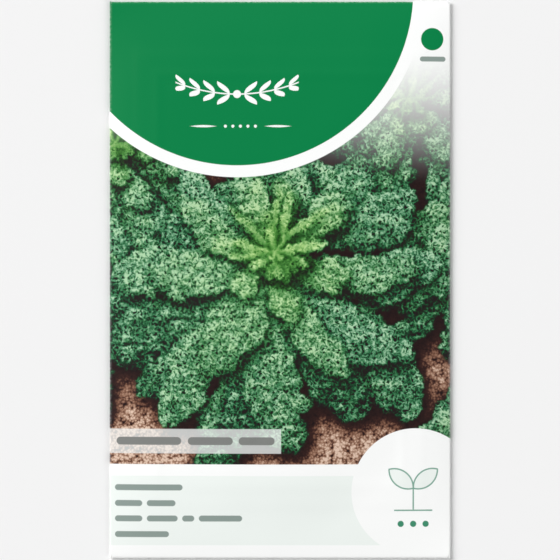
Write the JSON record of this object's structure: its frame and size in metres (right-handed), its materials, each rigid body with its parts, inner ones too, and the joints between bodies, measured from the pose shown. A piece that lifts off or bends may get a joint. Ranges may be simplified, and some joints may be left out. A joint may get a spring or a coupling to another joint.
{
  "type": "seed packet",
  "caption": "Flat paper seed packet, folded and glued from one printed sheet, with a sealed inner sachet of seeds; it lies on its back with the printed front up.",
  "frame": {"origin": "middle of the underside of the packet's bounding box, on the surface that the packet lies on", "axes": "+Z out of the printed front, +Y to the packet's top edge, +X to the right as the front is read"},
  "size_m": [0.082, 0.134, 0.0044],
  "materials": {
    "printed_paper": "coated, satin",
    "dried_glue": "dull",
    "foil_laminate": "metallised, satin",
    "seed_coat": "finely pitted, dull"
  },
  "bodies": {
    "root": {"paper_envelope": "printed_paper", "back_seam_glue": "dried_glue", "top_flap_glue": "dried_glue", "bottom_flap_glue": "dried_glue", "sachet_back_web": "foil_laminate", "sachet_front_web": "foil_laminate", "kale_seeds": "seed_coat"}
  },
  "joints": []
}
